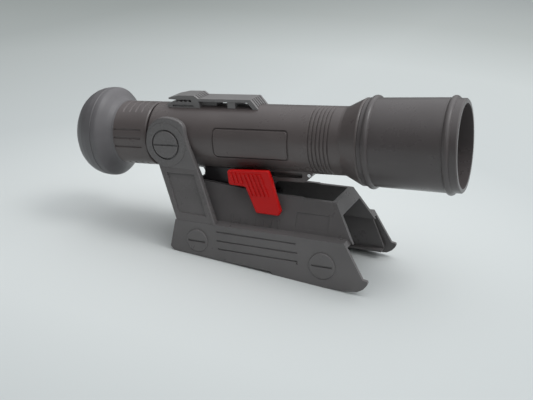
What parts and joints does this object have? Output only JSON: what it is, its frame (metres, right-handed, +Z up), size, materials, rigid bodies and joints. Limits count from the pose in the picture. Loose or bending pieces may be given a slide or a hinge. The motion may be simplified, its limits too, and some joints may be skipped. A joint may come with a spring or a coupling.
{
  "type": "clip-on toy sighting scope",
  "caption": "Toy sighting scope in grey plastic on a saddle that clips over a game gun's barrel, with a sliding lever that sets the tube's tilt.",
  "frame": {"origin": "under the middle of the whole scope, on the floor it stands on", "axes": "+X forward towards the objective, +Y to the shooter's left, +Z up; the skirts of the saddle stand on z = 0"},
  "size_m": [0.196, 0.0512, 0.092],
  "materials": {
    "saddle_grey": "fine moulded grain",
    "arm_grey": "fine moulded grain",
    "tube_grey": "fine moulded grain",
    "bell_grey": "fine moulded grain",
    "cup_grey": "soft moulded grain",
    "black_plastic": "smooth moulded black",
    "red_plastic": "glossy moulded red",
    "clear_lens": "clear polished",
    "bright_steel": "turned steel"
  },
  "bodies": {
    "saddle": {"saddle_body": "saddle_grey", "left_arm": "arm_grey", "right_arm": "arm_grey", "left_clamp_plate": "saddle_grey", "right_clamp_plate": "saddle_grey", "arm_screws": "arm_grey", "clamp_screws": "arm_grey", "left_pivot_screw": "arm_grey", "right_pivot_screw": "arm_grey", "cam_bridge": "black_plastic"},
    "scope": {"main_tube": "tube_grey", "objective_bell": "bell_grey", "objective_lens": "clear_lens", "objective_lens_ring": "black_plastic", "reticle_cross": "black_plastic", "field_stop": "black_plastic", "top_rail": "tube_grey", "guide_lug": "tube_grey", "lug_pins": "bright_steel"},
    "eyepiece": {"eyepiece_barrel": "tube_grey", "eyecup": "cup_grey", "eyepiece_lens": "clear_lens", "eyepiece_lens_ring": "black_plastic"},
    "slider": {"slide_carriage": "black_plastic", "range_lever": "red_plastic", "lever_pins": "bright_steel"}
  },
  "joints": [
    {"name": "tube_tilt", "type": "hinge", "parent": "saddle", "child": "scope", "pos_m": [-0.04291, 0, 0.05101], "axis": [0, -1, 0], "range_deg": [-3.1, 0]},
    {"name": "lever_slide", "type": "slide", "parent": "scope", "child": "slider", "axis": [0.9905, 0, 0.1374], "range_m": [0, 0.01505]},
    {"name": "eyepiece_turn", "type": "hinge", "parent": "scope", "child": "eyepiece", "pos_m": [-0.07222, 0, 0.04754], "axis": [0.9905, 0, 0.1374], "continuous": true}
  ],
  "couplings": [
    {"joint": "lever_slide", "follows": "tube_tilt", "m_per_rad": -0.27724}
  ]
}
